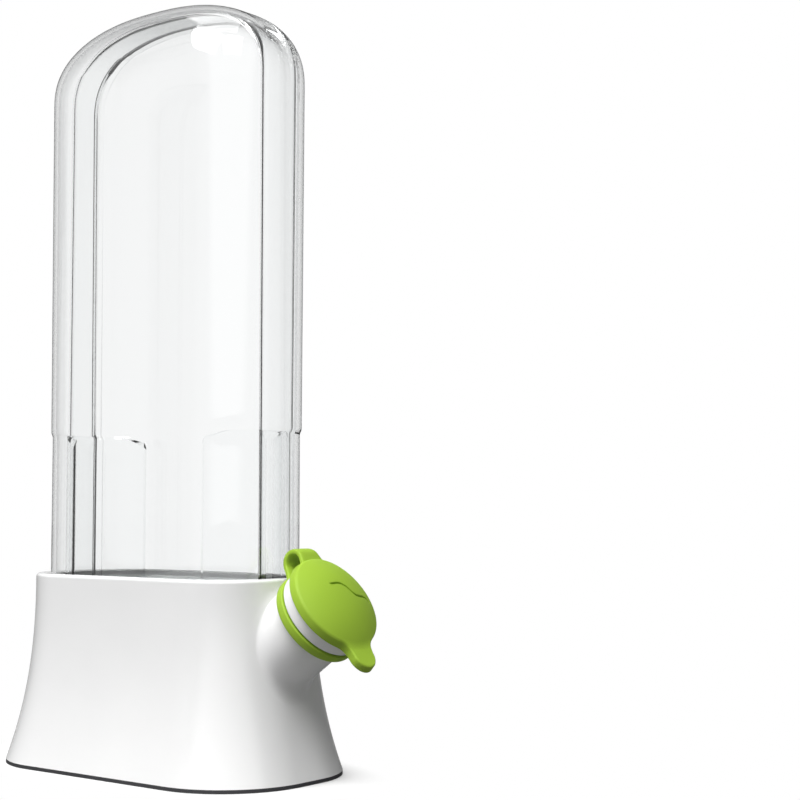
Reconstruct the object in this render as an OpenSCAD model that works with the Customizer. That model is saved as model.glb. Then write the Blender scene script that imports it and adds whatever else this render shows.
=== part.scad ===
// Herb keeper: a flared base with a slanted filling spout, a water well,
// a lift-out herb tray and a clear pod of two nested half shells.
// Millimetres. +Z is up, the front faces -Y and the spout points to +X.
// The origin is the centre of the footprint, on the surface it stands on.

/* [Base] */
// Height of the rim above the surface
rim_h = 73; // [66:1:90]
// Width of the rim's land beside the pod, at each end
land_w = 5.8; // [5:0.1:9]
// Width of the land in front of the pod and behind it
land_d = 4.95; // [4.5:0.05:8]
// How much larger the rim's upright corners are than the pod's
land_r = 4.7; // [3:0.1:6]
// How far the skirt runs out past the rim at each end
flare_w = 10.6; // [4:0.2:16]
// How far the skirt runs out past the rim, front and back
flare_d = 9.6; // [4:0.2:16]
// How late the skirt sweeps out: 1 is a straight cone
flare_power = 2.4; // [1.2:0.1:4]
// Wall of the skirt
base_wall = 2.2; // [1.6:0.1:3]
// Rounding of the rim's outer edge
rim_round = 1.2; // [0.6:0.1:1.8]

/* [Foot] */
// Thickness of the rubber pad under the base
foot_h = 1.4; // [1:0.1:3]
// How far the pad is set in from the skirt's lower edge
foot_inset = 0.5; // [0:0.1:2]
// Thickness of the plate that closes the base
plate_h = 2; // [1.5:0.1:3]

/* [Pod] */
// Width of the clear pod where it enters the rim
pod_w = 109.4; // [106:0.2:114]
// Depth of the clear pod
pod_d = 50.6; // [48:0.2:54]
// Radius of the pod's upright corners
pod_r = 21.6; // [18:0.2:23]
// Height at which the pod's arched top springs from its sides
spring_z = 258.6; // [200:0.2:300]
// Rise of the arched top
arch_h = 33.4; // [28:0.2:50]
// Squareness of the arch: 2 is an ellipse
arch_power = 2.45; // [2:0.05:3.2]
// Height of the small step that makes the pod narrower at its foot
step_z = 127; // [110:1:150]
// Size of that step on each side
step_in = 0.9; // [0.4:0.1:1.4]
// Extra half width that the sides gain above the step
pod_draft = 0.9; // [0:0.1:2]
// Wall of both half shells
pod_wall = 1.7; // [1.4:0.1:2.2]
// Wall of the tongue that the rear shell slides inside the front shell
tongue_wall = 1.5; // [1.2:0.1:2]
// How far each shell reaches past the middle of the pod's depth
overlap = 7; // [4:0.5:9]
// Running clearance between the two shells
shell_gap = 0.35; // [0.3:0.05:0.6]
// How deep the pod sits in the rim
seat_depth = 11.7; // [8:0.1:16]
// Clearance between the pod and the rim around it
rim_gap = 0.4; // [0.3:0.05:0.8]

/* [Water well] */
// Wall of the water well
well_wall = 1.5; // [1.2:0.1:2]
// Underside of the well's floor above the surface
well_z = 6; // [5:0.5:10]
// Thickness of the well's floor
well_floor = 2; // [1.5:0.1:3]
// Thickness of the ledge that carries the pod
ledge_h = 1.6; // [1.2:0.1:2.5]
// Clearance between the well and the inside of the pod
well_gap = 0.45; // [0.35:0.05:1]

/* [Herb tray] */
// Clearance between the tray and the well
tray_gap = 0.5; // [0.4:0.05:1]
// Wall of the tray
tray_wall = 1.4; // [1.1:0.1:2]
// Height of the tray's feet
tray_foot_h = 2; // [1:0.5:5]
// Height of the tray's low sides above the surface
tray_side_z = 40; // [30:1:60]
// Height of the tray's two end walls above the surface
tray_top_z = 127; // [100:1:150]
// Length that each end wall wraps along the front and back
tray_wrap = 14; // [8:1:22]
// Rounding of the end walls' top corners
tray_round = 6; // [3:0.5:10]
// Width of the slots in the tray's floor
slot_w = 3.4; // [2:0.1:3.8]
// Distance from slot to slot
slot_pitch = 7.6; // [6:0.2:12]

/* [Spout] */
// Distance from the rim's end to the middle of the lip, along the width
spout_out = 20; // [16:0.1:26]
// Height of the rim above the middle of the lip
spout_drop = 9; // [4:0.1:12]
// Angle of the spout above the level
spout_tilt = 36; // [33:0.5:42]
// Radius of the mouth that the plug fills
mouth_r = 13.2; // [11:0.1:14]
// Depth of the mouth before it narrows
mouth_depth = 12; // [11:0.5:13]
// Bevel at the mouth's edge
lip_bevel = 0.7; // [0.3:0.1:1]
// Wall of the neck round the mouth
neck_wall = 1.8; // [1.4:0.1:2.4]
// Radius of the throat that leads to the water well
throat_r = 8.2; // [7:0.1:8.6]
// Wall of the throat inside the base
throat_wall = 1.6; // [1.2:0.1:2]
// How far the lip's flange stands out from the neck
lip_out = 2.4; // [1.6:0.1:3]
// Thickness of the lip's flange
lip_h = 5.2; // [3:0.1:6]
// Length of the round neck below the lip, on its lower side
neck_low = 25; // [20:0.5:26]
// Length of the round neck below the lip, on its upper side
neck_high = 10.5; // [10.2:0.1:11.5]
// Height of the rim above the middle of the oval where the neck runs into the skirt
root_drop = 24.3; // [23:0.1:27]
// How much the blend widens that oval above and below
root_more = 2.6; // [1:0.1:3]
// How much the blend widens it on each side
root_side = 1.3; // [0.8:0.1:6]

/* [Stopper] */
// How far the cap reaches past the lip
cap_out = 1.4; // [0.5:0.1:2]
// Height of the cap's rounded edge
cap_edge = 3; // [2:0.1:4]
// How far that edge draws in from the cap's widest circle to its crown
cap_taper = 1.6; // [1:0.1:2.5]
// Height of the cap's crown above that edge
cap_crown = 5; // [2:0.1:8]
// Length of the plug under the cap
plug_h = 10; // [6:0.5:12]
// Radial clearance of the plug in the mouth
plug_gap = 0.1; // [0.05:0.01:0.3]
// Gap between the cap and the lip
cap_gap = 0.4; // [0.3:0.05:0.8]
// Width of the pull tab
tab_w = 11; // [8:0.2:13]
// Reach of the pull tab past the cap
tab_l = 9; // [6.5:0.1:14]
// Thickness of the pull tab
tab_h = 2.6; // [1.6:0.1:3.5]
// Length of the collar along the neck
collar_h = 4.3; // [3.5:0.1:4.4]
// Thickness of the collar round the neck
collar_t = 2.7; // [1.8:0.1:2.9]
// Distance of the middle of the strap's loop from the cap's edge
loop_out = 1.6; // [1.4:0.1:3]
// Outer radius of the strap's loop
loop_r = 5.1; // [4.5:0.1:5.3]
// Thickness of the strap
strap_h = 2; // [1.4:0.1:2.4]
// Width of the strap
strap_w = 11; // [7:0.2:12]

/* [Hidden] */

// Steps of each upright corner, and of the arched top
corner_steps = 9;
arch_steps = 28;
edge_steps = 8;
// Share of the flare by which the corner radius grows
corner_gain = 0.7;
// A small overlap that lets cuts run past a face
cut = 1;
// Size of a block that is larger than the whole keeper is wide
block = 2 * pod_w;

// The rim round the pod
rim_w = pod_w + 2 * land_w;
rim_d = pod_d + 2 * land_d;
rim_r = pod_r + land_r;

// The spout's place and its radii
spout_x = rim_w / 2 + spout_out;
spout_z = rim_h - spout_drop;
neck_r = mouth_r + neck_wall;
lip_r = neck_r + lip_out;
collar_r = neck_r + collar_t;
cap_r = lip_r + cap_out;
loop_u = cap_r + loop_out;

// The oval where the neck runs into the skirt
root_z = rim_h - root_drop;
root_h = neck_r / cos(spout_tilt) + root_more;
root_w = neck_r + root_side;

// Levels
plate_top = foot_h + plate_h;
floor_top = well_z + well_floor;
ledge_top = rim_h - seat_depth - 0.3;
pod_z = rim_h - seat_depth;
well_top = rim_h - 2;

// Half sizes and corner centres of the pod
pod_a = pod_w / 2;
pod_b = pod_d / 2;
pod_core = pod_b - pod_r;
tongue_off = pod_wall + shell_gap;
inner_off = tongue_off + tongue_wall;

// Insets from the pod's outer face, for what stands inside it
well_inset = inner_off + well_gap;
tray_inset = well_inset + well_wall + tray_gap;
tray_inner = tray_inset + tray_wall;
collar_wall = 1.8;
collar_out = -(rim_gap + collar_wall);

white = [0.94, 0.94, 0.94];
green = [0.53, 0.70, 0.16];
clear = [0.82, 0.87, 0.88, 0.35];

// ---------- helpers ----------

// A rounded rectangle as a ring of points at height z, counter-clockwise from above
function ring(w, d, r, z) = [
  for (q = [0:3], i = [0:corner_steps])
    let (a = 90 * (q + i / corner_steps),
         sx = (q == 0 || q == 3) ? 1 : -1,
         sy = q < 2 ? 1 : -1)
      [sx * (w / 2 - r) + r * cos(a), sy * (d / 2 - r) + r * sin(a), z]
];

// Two triangles that fill the quad a, b, c, d, seen from its back unless it is flipped
function quad(a, b, c, d, flip) = flip ? [[a, b, c], [a, c, d]] : [[a, c, b], [a, d, c]];

// Two triangles for each quad of a grid of m rows and n columns that may close on itself
function grid_faces(m, n, start = 0, flip = false, wrap_n = true, wrap_m = true) = [
  for (j = [0:m - (wrap_m ? 1 : 2)], i = [0:n - (wrap_n ? 1 : 2)])
    let (a = start + j * n + i,
         b = start + j * n + (i + 1) % n,
         c = start + ((j + 1) % m) * n + (i + 1) % n,
         d = start + ((j + 1) % m) * n + i)
      each quad(a, b, c, d, flip)
];

// A rounded rectangle that is inset from the pod's outer face, with true arcs
module pod_outline(inset) {
  w = pod_w - 2 * inset;
  d = pod_d - 2 * inset;
  r = pod_r - inset;
  rounded_outline(w, d, r);
}

module rounded_outline(w, d, r) {
  square([w - 2 * r, d], center = true);
  square([w, d - 2 * r], center = true);
  for (sx = [-1, 1], sy = [-1, 1])
    translate([sx * (w / 2 - r), sy * (d / 2 - r)])
      circle(r = r, $fn = 64);
}

// Places children with their +Z along the spout's axis and z = 0 in the cap's lower plane
module on_spout() {
  translate([spout_x, 0, spout_z])
    rotate([0, 90 - spout_tilt, 0])
      children();
}

// ---------- foot, plate and base ----------

module foot_pad() {
  color([0.12, 0.12, 0.13])
    linear_extrude(foot_h)
      rounded_outline(rim_w + 2 * (flare_w - foot_inset),
                      rim_d + 2 * (flare_d - foot_inset),
                      rim_r + corner_gain * flare_w - foot_inset);
}

// Clearance of the plate inside the skirt, and the posts that carry the well
plate_gap = 1.8;
post_r = 4;
post_x = 32;
post_y = 9;

module bottom_plate() {
  inset = base_wall + plate_gap;
  color([0.88, 0.88, 0.88]) {
    translate([0, 0, foot_h])
      linear_extrude(plate_h)
        rounded_outline(rim_w + 2 * (flare_w - inset),
                        rim_d + 2 * (flare_d - inset),
                        rim_r + corner_gain * flare_w - inset);
    for (sx = [-1, 1], sy = [-1, 1])
      translate([sx * post_x, sy * post_y, foot_h + plate_h / 2])
        cylinder(h = well_z - foot_h - plate_h / 2, r = post_r, $fn = 32);
  }
}

// One ring of the flared skirt, pushed in from its outer face
function skirt_ring(z, inset) =
  let (t = pow(1 - z / rim_h, flare_power))
    ring(rim_w + 2 * (flare_w * t - inset),
         rim_d + 2 * (flare_d * t - inset),
         rim_r + corner_gain * flare_w * t - inset, z);

// One ring round the hole that the pod drops into
function seat_ring(z, offset) =
  ring(pod_w + 2 * offset, pod_d + 2 * offset, pod_r + offset, z);

skirt_levels = 11;
collar_z = ledge_top;

base_rings = concat(
  [for (i = [0:skirt_levels])
    let (t = i / skirt_levels)
      skirt_ring(foot_h + (rim_h - rim_round - foot_h) * (1 - pow(1 - t, 1.35)), 0)],
  [for (a = [30, 60, 90])
    skirt_ring(rim_h - rim_round * (1 - sin(a)), rim_round * (1 - cos(a)))],
  [seat_ring(rim_h, rim_gap + 0.5),
   seat_ring(rim_h - 0.5, rim_gap),
   seat_ring(collar_z, rim_gap),
   seat_ring(collar_z, rim_gap + collar_wall),
   seat_ring(rim_h - base_wall - 0.6, rim_gap + collar_wall)],
  [for (i = [0:6])
    skirt_ring(rim_h - base_wall - 0.6 - (rim_h - base_wall - 0.6 - foot_h) * pow(i / 6, 1.2),
               base_wall)]);

module skirt() {
  n = len(base_rings[0]);
  polyhedron(points = [for (r = base_rings) each r],
             faces = grid_faces(len(base_rings), n));
}

// A point of the spout, from its own frame (x towards its lower side) to the base's
function from_spout(p) =
  [spout_x + p[0] * sin(spout_tilt) + p[2] * cos(spout_tilt), p[1],
   spout_z - p[0] * cos(spout_tilt) + p[2] * sin(spout_tilt)];

// The skirt's outer face on the spout's side, at depth y and height z
function skirt_point(y, z, inset = 0) =
  let (t = pow(1 - z / rim_h, flare_power),
       r = rim_r + corner_gain * flare_w * t,
       dy = max(0, abs(y) - (rim_d / 2 + flare_d * t - r)))
    [rim_w / 2 + flare_w * t - r - inset + sqrt(r * r - dy * dy), y, z];

// The oval where the neck runs into the skirt, shrunk by a factor, at angle a
function root_point(a, factor, inset = 0) =
  skirt_point(root_w * factor * sin(a), root_z - root_h * factor * cos(a), inset);

// A cubic Bezier point
function bezier(p0, p1, p2, p3, t) =
  pow(1 - t, 3) * p0 + 3 * t * pow(1 - t, 2) * p1 + 3 * t * t * (1 - t) * p2 + pow(t, 3) * p3;

// The neck leaves its own cylinder along the spout's axis and meets the skirt along its face
function root_blend(a, t) =
  let (s = (neck_low + neck_high) / 2 + (neck_low - neck_high) / 2 * cos(a),
       p0 = from_spout([neck_r * cos(a), neck_r * sin(a), -s]),
       p3 = root_point(a, 1),
       pull = 0.38 * norm(p3 - p0),
       back = from_spout([0, 0, -1]) - from_spout([0, 0, 0]),
       along = root_point(a, 0.8) - p3)
    bezier(p0, p0 + pull * back, p3 + pull * along / norm(along), p3, t);

// The solid neck with its blend, from under the lip into the skirt's wall
neck_steps = 48;
blend_steps = 7;
root_depth = base_wall / 2;

module neck_root() {
  angles = [for (i = [0:neck_steps - 1]) 360 * i / neck_steps];
  rings = concat(
    [[for (a = angles) from_spout([neck_r * cos(a), neck_r * sin(a), -cap_gap - lip_h / 2])]],
    [for (j = [0:blend_steps]) [for (a = angles) root_blend(a, j / blend_steps)]],
    [for (f = [1, 0.7, 0.4, 0.15]) [for (a = angles) root_point(a, f, root_depth)]]);
  m = len(rings);
  last = m * neck_steps;
  polyhedron(
    points = concat([for (r = rings) each r],
                    [from_spout([0, 0, -cap_gap - lip_h / 2]), root_point(0, 0, root_depth)]),
    faces = concat(
      grid_faces(m, neck_steps, 0, true, true, false),
      [for (i = [0:neck_steps - 1]) [last, (i + 1) % neck_steps, i]],
      [for (i = [0:neck_steps - 1])
        [last + 1, last - neck_steps + i, last - neck_steps + (i + 1) % neck_steps]]),
    convexity = 6);
}

// The lip's flange, which the cap covers and the collar sits under
module lip_flange() {
  on_spout()
    rotate_extrude($fn = 96)
      polygon([[0, -cap_gap], [lip_r - 0.5, -cap_gap], [lip_r, -cap_gap - 0.5],
               [lip_r, -cap_gap - lip_h + 0.4], [lip_r - 0.4, -cap_gap - lip_h],
               [0, -cap_gap - lip_h]]);
}

// The tube that leads from the neck to the well. It ends past the well's wall on all sides.
throat_out = throat_r + throat_wall;
throat_end = cut + cut
  + (spout_x + throat_out * sin(spout_tilt) - (pod_a - well_inset - well_wall)) / cos(spout_tilt);

module throat_tube() {
  intersection() {
    on_spout()
      translate([0, 0, -throat_end])
        cylinder(h = throat_end - mouth_depth - 2 * cut, r = throat_out, $fn = 64);
    translate([0, -block / 2, 0])
      cube([block, block, collar_z + collar_wall]);
  }
}

// Everything that is hollow in the spout: mouth, funnel and throat
funnel_h = 4;

module spout_bore() {
  on_spout() {
    translate([0, 0, -mouth_depth])
      cylinder(h = mouth_depth + cut, r = mouth_r, $fn = 96);
    translate([0, 0, -cap_gap - 3 * lip_bevel])
      cylinder(h = 3 * lip_bevel + 0.3, r1 = mouth_r, r2 = mouth_r + lip_bevel + 0.1, $fn = 96);
    translate([0, 0, -mouth_depth - funnel_h])
      cylinder(h = funnel_h + 0.001, r1 = throat_r, r2 = mouth_r, $fn = 96);
    translate([0, 0, -throat_end - cut])
      cylinder(h = throat_end + cut - mouth_depth, r = throat_r, $fn = 96);
  }
}

module base_shell() {
  color(white)
    difference() {
      union() {
        skirt();
        neck_root();
        lip_flange();
        throat_tube();
      }
      spout_bore();
      translate([0, 0, floor_top])
        linear_extrude(rim_h)
          pod_outline(well_inset + well_wall + 0.02);
    }
}

module water_well() {
  color([0.9, 0.92, 0.92])
    difference() {
      union() {
        translate([0, 0, well_z])
          linear_extrude(well_top - well_z)
            pod_outline(well_inset);
        translate([0, 0, ledge_top - ledge_h])
          linear_extrude(ledge_h)
            pod_outline(collar_out);
      }
      translate([0, 0, floor_top])
        linear_extrude(rim_h)
          pod_outline(well_inset + well_wall);
      on_spout()
        translate([0, 0, -throat_end - cut])
          cylinder(h = throat_end - mouth_depth, r = throat_out + 0.02, $fn = 64);
    }
}

// A rubber sleeve round the throat, pressed against the well's outer wall
seal_wall = 1.6;
seal_l = 5.5;

module spout_seal() {
  seal_in = throat_out + 0.02;
  color([0.3, 0.3, 0.31])
    difference() {
      on_spout()
        translate([0, 0, -throat_end])
          difference() {
            cylinder(h = throat_end - mouth_depth - funnel_h, r = seal_in + seal_wall, $fn = 64);
            translate([0, 0, -cut])
              cylinder(h = throat_end, r = seal_in, $fn = 64);
          }
      translate([0, 0, well_z])
        linear_extrude(rim_h)
          pod_outline(well_inset);
      translate([pod_a - well_inset + seal_l, -block / 2, 0])
        cube(block);
      translate([0, -block / 2, ledge_top - ledge_h])
        cube(block);
    }
}

// ---------- stopper ----------

collar_top = -cap_gap - lip_h;

module cap_collar() {
  color(green)
    on_spout()
      rotate_extrude($fn = 96)
        polygon([[neck_r + 0.02, collar_top - collar_h], [collar_r - 1, collar_top - collar_h],
                 [collar_r - 0.3, collar_top - collar_h + 0.7], [collar_r, collar_top - 0.5],
                 [collar_r - 0.4, collar_top], [neck_r + 0.02, collar_top]]);
}

// The loop runs from the collar's middle to the cap's edge, on the spout's upper side
loop_top = strap_h + 0.3;
loop_v = loop_top - loop_r;

module cap_strap() {
  foot_v = 2 * loop_v - loop_top;
  color(green)
    difference() {
      on_spout()
        rotate([90, 0, 0])
          linear_extrude(strap_w, center = true)
            difference() {
              union() {
                translate([-loop_u, loop_v])
                  circle(r = loop_r, $fn = 64);
                translate([-loop_u, foot_v])
                  square([loop_u - collar_r / 2, loop_top - foot_v]);
              }
              translate([-loop_u, loop_v])
                circle(r = loop_r - strap_h, $fn = 64);
              translate([-loop_u, foot_v + strap_h])
                square([loop_u, loop_top - foot_v - 2 * strap_h]);
            }
      on_spout() {
        translate([0, 0, -0.3])
          cylinder(h = 2 * loop_r, r = cap_r + 0.25, $fn = 96);
        translate([0, 0, collar_top - collar_h - cut])
          cylinder(h = collar_h + cut + lip_h + cut, r = collar_r + 0.02, $fn = 96);
        translate([0, 0, collar_top])
          cylinder(h = lip_h + cut, r = lip_r + 0.3, $fn = 96);
      }
    }
}

module spout_cap() {
  plug_r = mouth_r - plug_gap;
  crown = [for (i = [0:10])
    let (a = 9 * i)
      [(cap_r - cap_taper) * sin(a), cap_edge + cap_crown * cos(a)]];
  color(green)
    on_spout() {
      rotate_extrude($fn = 96)
        polygon(concat(
          [[0, -plug_h], [plug_r - 1.6, -plug_h], [plug_r - 0.7, -plug_h + 1],
           [plug_r, -0.4 * plug_h], [plug_r, 0], [cap_r - 0.5, 0], [cap_r, 0.5],
           [cap_r, 0.4 * cap_edge], [cap_r - 0.22 * cap_taper, 0.68 * cap_edge],
           [cap_r - 0.55 * cap_taper, 0.87 * cap_edge]],
          [for (i = [10:-1:0]) crown[i]]));
      linear_extrude(tab_h) {
        translate([cap_r - cap_edge, -tab_w / 2])
          square([tab_l + cap_edge - tab_w / 2, tab_w]);
        translate([cap_r + tab_l - tab_w / 2, 0])
          circle(d = tab_w, $fn = 48);
      }
    }
}

// ---------- herb tray ----------

tray_z = floor_top + 0.3;
tray_floor_h = 1.6;
slot_count = 11;
// The windows in the tray's end walls
window_z = 22;
window_w = 20;
window_h = 26;
window_depth = 12;
tray_half_w = pod_a - tray_inset;
tray_half_d = pod_b - tray_inset;

module tray_wall_ring(z0, z1) {
  translate([0, 0, z0])
    linear_extrude(z1 - z0)
      difference() {
        pod_outline(tray_inset);
        pod_outline(tray_inner);
      }
}

module herb_tray() {
  floor_z = tray_z + tray_foot_h;
  color(clear)
    difference() {
      union() {
        translate([0, 0, floor_z])
          linear_extrude(tray_floor_h)
            difference() {
              pod_outline(tray_inset);
              for (i = [0:slot_count - 1])
                translate([(i - (slot_count - 1) / 2) * slot_pitch, 0])
                  rounded_outline(slot_w, 1.5 * tray_half_d, slot_w / 2 - 0.01);
            }
        tray_wall_ring(floor_z, tray_side_z);
        intersection() {
          tray_wall_ring(floor_z, tray_top_z);
          for (s = [-1, 1])
            translate([s * (tray_half_w - tray_wrap / 2), 0, tray_top_z / 2])
              cube([tray_wrap, 3 * tray_half_d, tray_top_z], center = true);
          translate([-block / 2, 0, 0])
            rotate([90, 0, 90])
              linear_extrude(block) {
                translate([-tray_half_d, 0])
                  square([2 * tray_half_d, tray_top_z - tray_round]);
                translate([-tray_half_d + tray_round, 0])
                  square([2 * (tray_half_d - tray_round), tray_top_z]);
                for (s = [-1, 1])
                  translate([s * (tray_half_d - tray_round), tray_top_z - tray_round])
                    circle(r = tray_round, $fn = 48);
              }
        }
        for (sx = [-1, 1], sy = [-1, 1])
          translate([sx * tray_half_w * 0.72, sy * tray_half_d * 0.6, tray_z])
            cylinder(h = tray_foot_h + tray_floor_h / 2, r = 2.2, $fn = 32);
      }
      // A window at each end lets the water in from the spout
      for (s = [-1, 1])
        translate([s * tray_half_w, 0, window_z])
          rotate([90, 0, 90])
            linear_extrude(window_depth, center = true) {
              translate([-window_w / 2, 0])
                square([window_w, window_h]);
              translate([0, window_h])
                circle(d = window_w, $fn = 48);
            }
    }
}

// ---------- clear pod ----------

// Half width of the pod at height z, below its arched top. A rail keeps the foot's width
// all the way up, so that the front shell can be drawn up over it.
function side_a(z, rail = false) =
  (rail || z <= step_z)
    ? pod_a
    : pod_a + step_in + pod_draft * (z - step_z) / (spring_z - step_z);

// Stations along the arch's outline: [half width, height, angle of the arch or -1, side]
leg_levels = [pod_z, step_z - 1, step_z + 1.2, (step_z + spring_z) / 2];
stations = concat(
  [for (z = leg_levels) [-1, z, -1]],
  [for (i = [0:arch_steps]) [0, spring_z, 180 - 180 * i / arch_steps]],
  [for (i = [len(leg_levels) - 1:-1:0]) [1, leg_levels[i], -1]]);

// A point of the superellipse arch with the given half width and rise
function arch_point(a, h, angle) =
  let (c = cos(angle), s = sin(angle), e = 2 / arch_power)
    [a * sign(c) * pow(abs(c), e), spring_z + h * pow(abs(s), e)];

function outline_point(st, inset, rail) =
  st[2] < 0
    ? [st[0] * (side_a(st[1], rail) - inset), st[1]]
    : arch_point(side_a(spring_z, rail) - inset, arch_h - inset, st[2]);

// A point of a surface that lies `inset` inside the pod's outer face, at depth y
function pod_point(st, inset, y, rail = false) =
  let (r = pod_r - inset,
       dy = min(max(0, abs(y) - pod_core), r),
       f = 1 - sqrt(max(0, 1 - pow(dy / r, 2))),
       c = outline_point(st, inset, rail),
       k = outline_point(st, pod_r, rail))
    [c[0] + (k[0] - c[0]) * f, y, c[1] + (k[1] - c[1]) * f];

// From the straight middle round to the flat face, towards the given side of the depth
function round_to_face(inset, side, from_y) =
  let (r = pod_r - inset,
       a0 = asin(max(0, side * from_y - pod_core) / r))
    [for (i = [1:edge_steps])
      [inset, side * (pod_core + r * sin(a0 + (90 - a0) * i / edge_steps))]];

// A flat face of the pod, filled in strips from its left to its right leg
function flat_face(m, n, start, flip) =
  let (at = function(j) start + j * n + n - 1,
       top = (m - 1) / 2)
    concat(
      [for (j = [0:top - 2]) each quad(at(j), at(j + 1), at(m - 2 - j), at(m - 1 - j), flip)],
      [flip ? [at(top - 1), at(top), at(top + 1)] : [at(top + 1), at(top), at(top - 1)]]);

// A closed half shell between an outer and an inner profile of [inset, y, rail] entries.
// Both profiles are equally long and end in their flat face.
module half_shell(outer, inner, flip) {
  m = len(stations);
  n = len(outer);
  in0 = m * n;
  right = (m - 1) * n;
  points = [for (profile = [outer, inner], st = stations, p = profile)
    pod_point(st, p[0], p[1], p[2] == 1)];
  seam = [for (j = [0:m - 2])
    each quad(j * n, (j + 1) * n, in0 + (j + 1) * n, in0 + j * n, flip)];
  // The lower edge: a strip on the left, one on the right and the flat wall between them
  foot_left = [for (i = [0:n - 2]) each quad(i, i + 1, in0 + i + 1, in0 + i, !flip)];
  foot_right = [for (i = [0:n - 2])
    each quad(right + i + 1, right + i, in0 + right + i, in0 + right + i + 1, !flip)];
  foot_flat = quad(n - 1, right + n - 1, in0 + right + n - 1, in0 + n - 1, !flip);
  polyhedron(points = points,
             faces = concat(grid_faces(m, n, 0, flip, false, false),
                            grid_faces(m, n, in0, !flip, false, false),
                            flat_face(m, n, 0, !flip), flat_face(m, n, in0, flip),
                            seam, foot_left, foot_right, foot_flat),
             convexity = 6);
}

module front_cover() {
  color(clear)
    half_shell(
      concat([[0, overlap], [0, pod_core], [0, -pod_core]],
             round_to_face(0, -1, pod_core)),
      concat([[pod_wall, overlap], [pod_wall, pod_core], [pod_wall, -pod_core]],
             round_to_face(pod_wall, -1, pod_core)),
      false);
}

module rear_cover() {
  shoulder_y = overlap + shell_gap;
  shoulder_in = 0.4;
  inner_y = shoulder_y + pod_wall;
  color(clear)
    half_shell(
      concat([for (y = [-overlap, -pod_core, pod_core, shoulder_y]) [tongue_off, y, 1]],
             [[0, shoulder_y + shoulder_in]],
             round_to_face(0, 1, shoulder_y + shoulder_in)),
      concat([for (y = [-overlap, -pod_core, pod_core, inner_y]) [inner_off, y, 1]],
             [[pod_wall, inner_y + inner_off - pod_wall]],
             round_to_face(pod_wall, 1, inner_y + inner_off - pod_wall)),
      true);
}

foot_pad();
bottom_plate();
base_shell();
water_well();
spout_seal();
cap_collar();
cap_strap();
spout_cap();
herb_tray();
rear_cover();
front_cover();
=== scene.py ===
# %% [markdown]
# # A herb keeper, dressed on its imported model
# A herb keeper is slim and tall: a flared white base with a capped filling spout, a clear tray
# that lifts out of the well in it, and over both a clear pod of two half shells. The packed
# model gives every piece its true place and size. This lesson replaces the pieces whose look
# matters with finer surfaces, worked out with numpy, and gives each piece its finish.

import bpy
import numpy as np
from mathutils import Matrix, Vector


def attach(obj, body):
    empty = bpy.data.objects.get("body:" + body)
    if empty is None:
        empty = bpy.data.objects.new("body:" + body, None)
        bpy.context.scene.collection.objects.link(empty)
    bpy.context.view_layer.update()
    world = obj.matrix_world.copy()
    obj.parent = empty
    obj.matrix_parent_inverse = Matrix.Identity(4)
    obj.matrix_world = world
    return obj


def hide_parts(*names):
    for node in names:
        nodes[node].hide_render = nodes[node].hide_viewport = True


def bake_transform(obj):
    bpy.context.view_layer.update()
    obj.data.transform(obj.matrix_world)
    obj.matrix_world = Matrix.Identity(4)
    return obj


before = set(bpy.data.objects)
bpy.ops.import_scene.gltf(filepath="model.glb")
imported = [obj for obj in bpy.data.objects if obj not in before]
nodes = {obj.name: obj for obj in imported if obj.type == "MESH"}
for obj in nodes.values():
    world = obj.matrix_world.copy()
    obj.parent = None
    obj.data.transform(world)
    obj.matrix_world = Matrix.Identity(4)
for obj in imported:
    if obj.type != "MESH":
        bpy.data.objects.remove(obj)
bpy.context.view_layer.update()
print("nodes:", ", ".join(sorted(nodes)))

# %% [markdown]
# ## Sizes
# All sizes are in millimetres and the same as the solids'. They are typed once here and used
# everywhere below, so that pieces which touch take their places from the same values. The
# origin is the middle of the footprint. +X points to the spout, -Y to the front and +Z up.

# %% Sizes of the keeper
MM = 0.001
# The foot, and the base with its rim, its flare and its wall.
FOOT_H = 1.4
RIM_H, RIM_W, RIM_D, RIM_R = 73.0, 121.0, 60.5, 26.3
FLARE_W, FLARE_D, FLARE_POWER, CORNER_GAIN = 10.6, 9.6, 2.4, 0.7
BASE_WALL, RIM_ROUND = 2.2, 1.2
# The clear pod: its outline, arch, step and draft, its walls and its seat in the rim.
POD_W, POD_D, POD_R = 109.4, 50.6, 21.6
POD_A, POD_CORE = POD_W / 2, POD_D / 2 - POD_R
SPRING_Z, ARCH_H, ARCH_POWER = 258.6, 33.4, 2.45
STEP_Z, STEP_IN, POD_DRAFT = 127.0, 0.9, 0.9
POD_WALL, TONGUE_WALL, OVERLAP, SHELL_GAP = 1.7, 1.5, 7.0, 0.35
POD_Z, RIM_GAP, COLLAR_WALL = 61.3, 0.4, 1.8
COLLAR_Z = POD_Z - 0.3
# The spout: the middle of its mouth, its tilt, its bore, its lip and its root on the skirt.
SPOUT_X, SPOUT_Z, SPOUT_TILT = 80.5, 64.0, np.radians(36.0)
NECK_R, MOUTH_R, MOUTH_DEPTH, LIP_BEVEL = 15.0, 13.2, 12.0, 0.7
THROAT_R, THROAT_WALL, WELL_X = 8.2, 1.6, 49.3
LIP_R, LIP_H, CAP_GAP = 17.4, 5.2, 0.4
NECK_LOW, NECK_HIGH = 25.0, 10.5
ROOT_Z, ROOT_H, ROOT_W = 48.7, 21.14, 16.3
# The stopper with its tab, and the collar and the strap that tie it to the neck.
CAP_R, CAP_TAPER, CAP_EDGE, PLUG_H = 18.8, 0.4, 2.7, 10.0
CAP_CROWN, DOME_POWER = 4.8, 2.2
TAB_W, TAB_L, TAB_TOP, CAP_SKIRT = 11.0, 9.0, 2.7, 0.3
COLLAR_H, COLLAR_R = 4.3, 17.7
LOOP_U, LOOP_R, STRAP_H, STRAP_W = 20.4, 5.1, 2.0, 9.4

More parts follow.
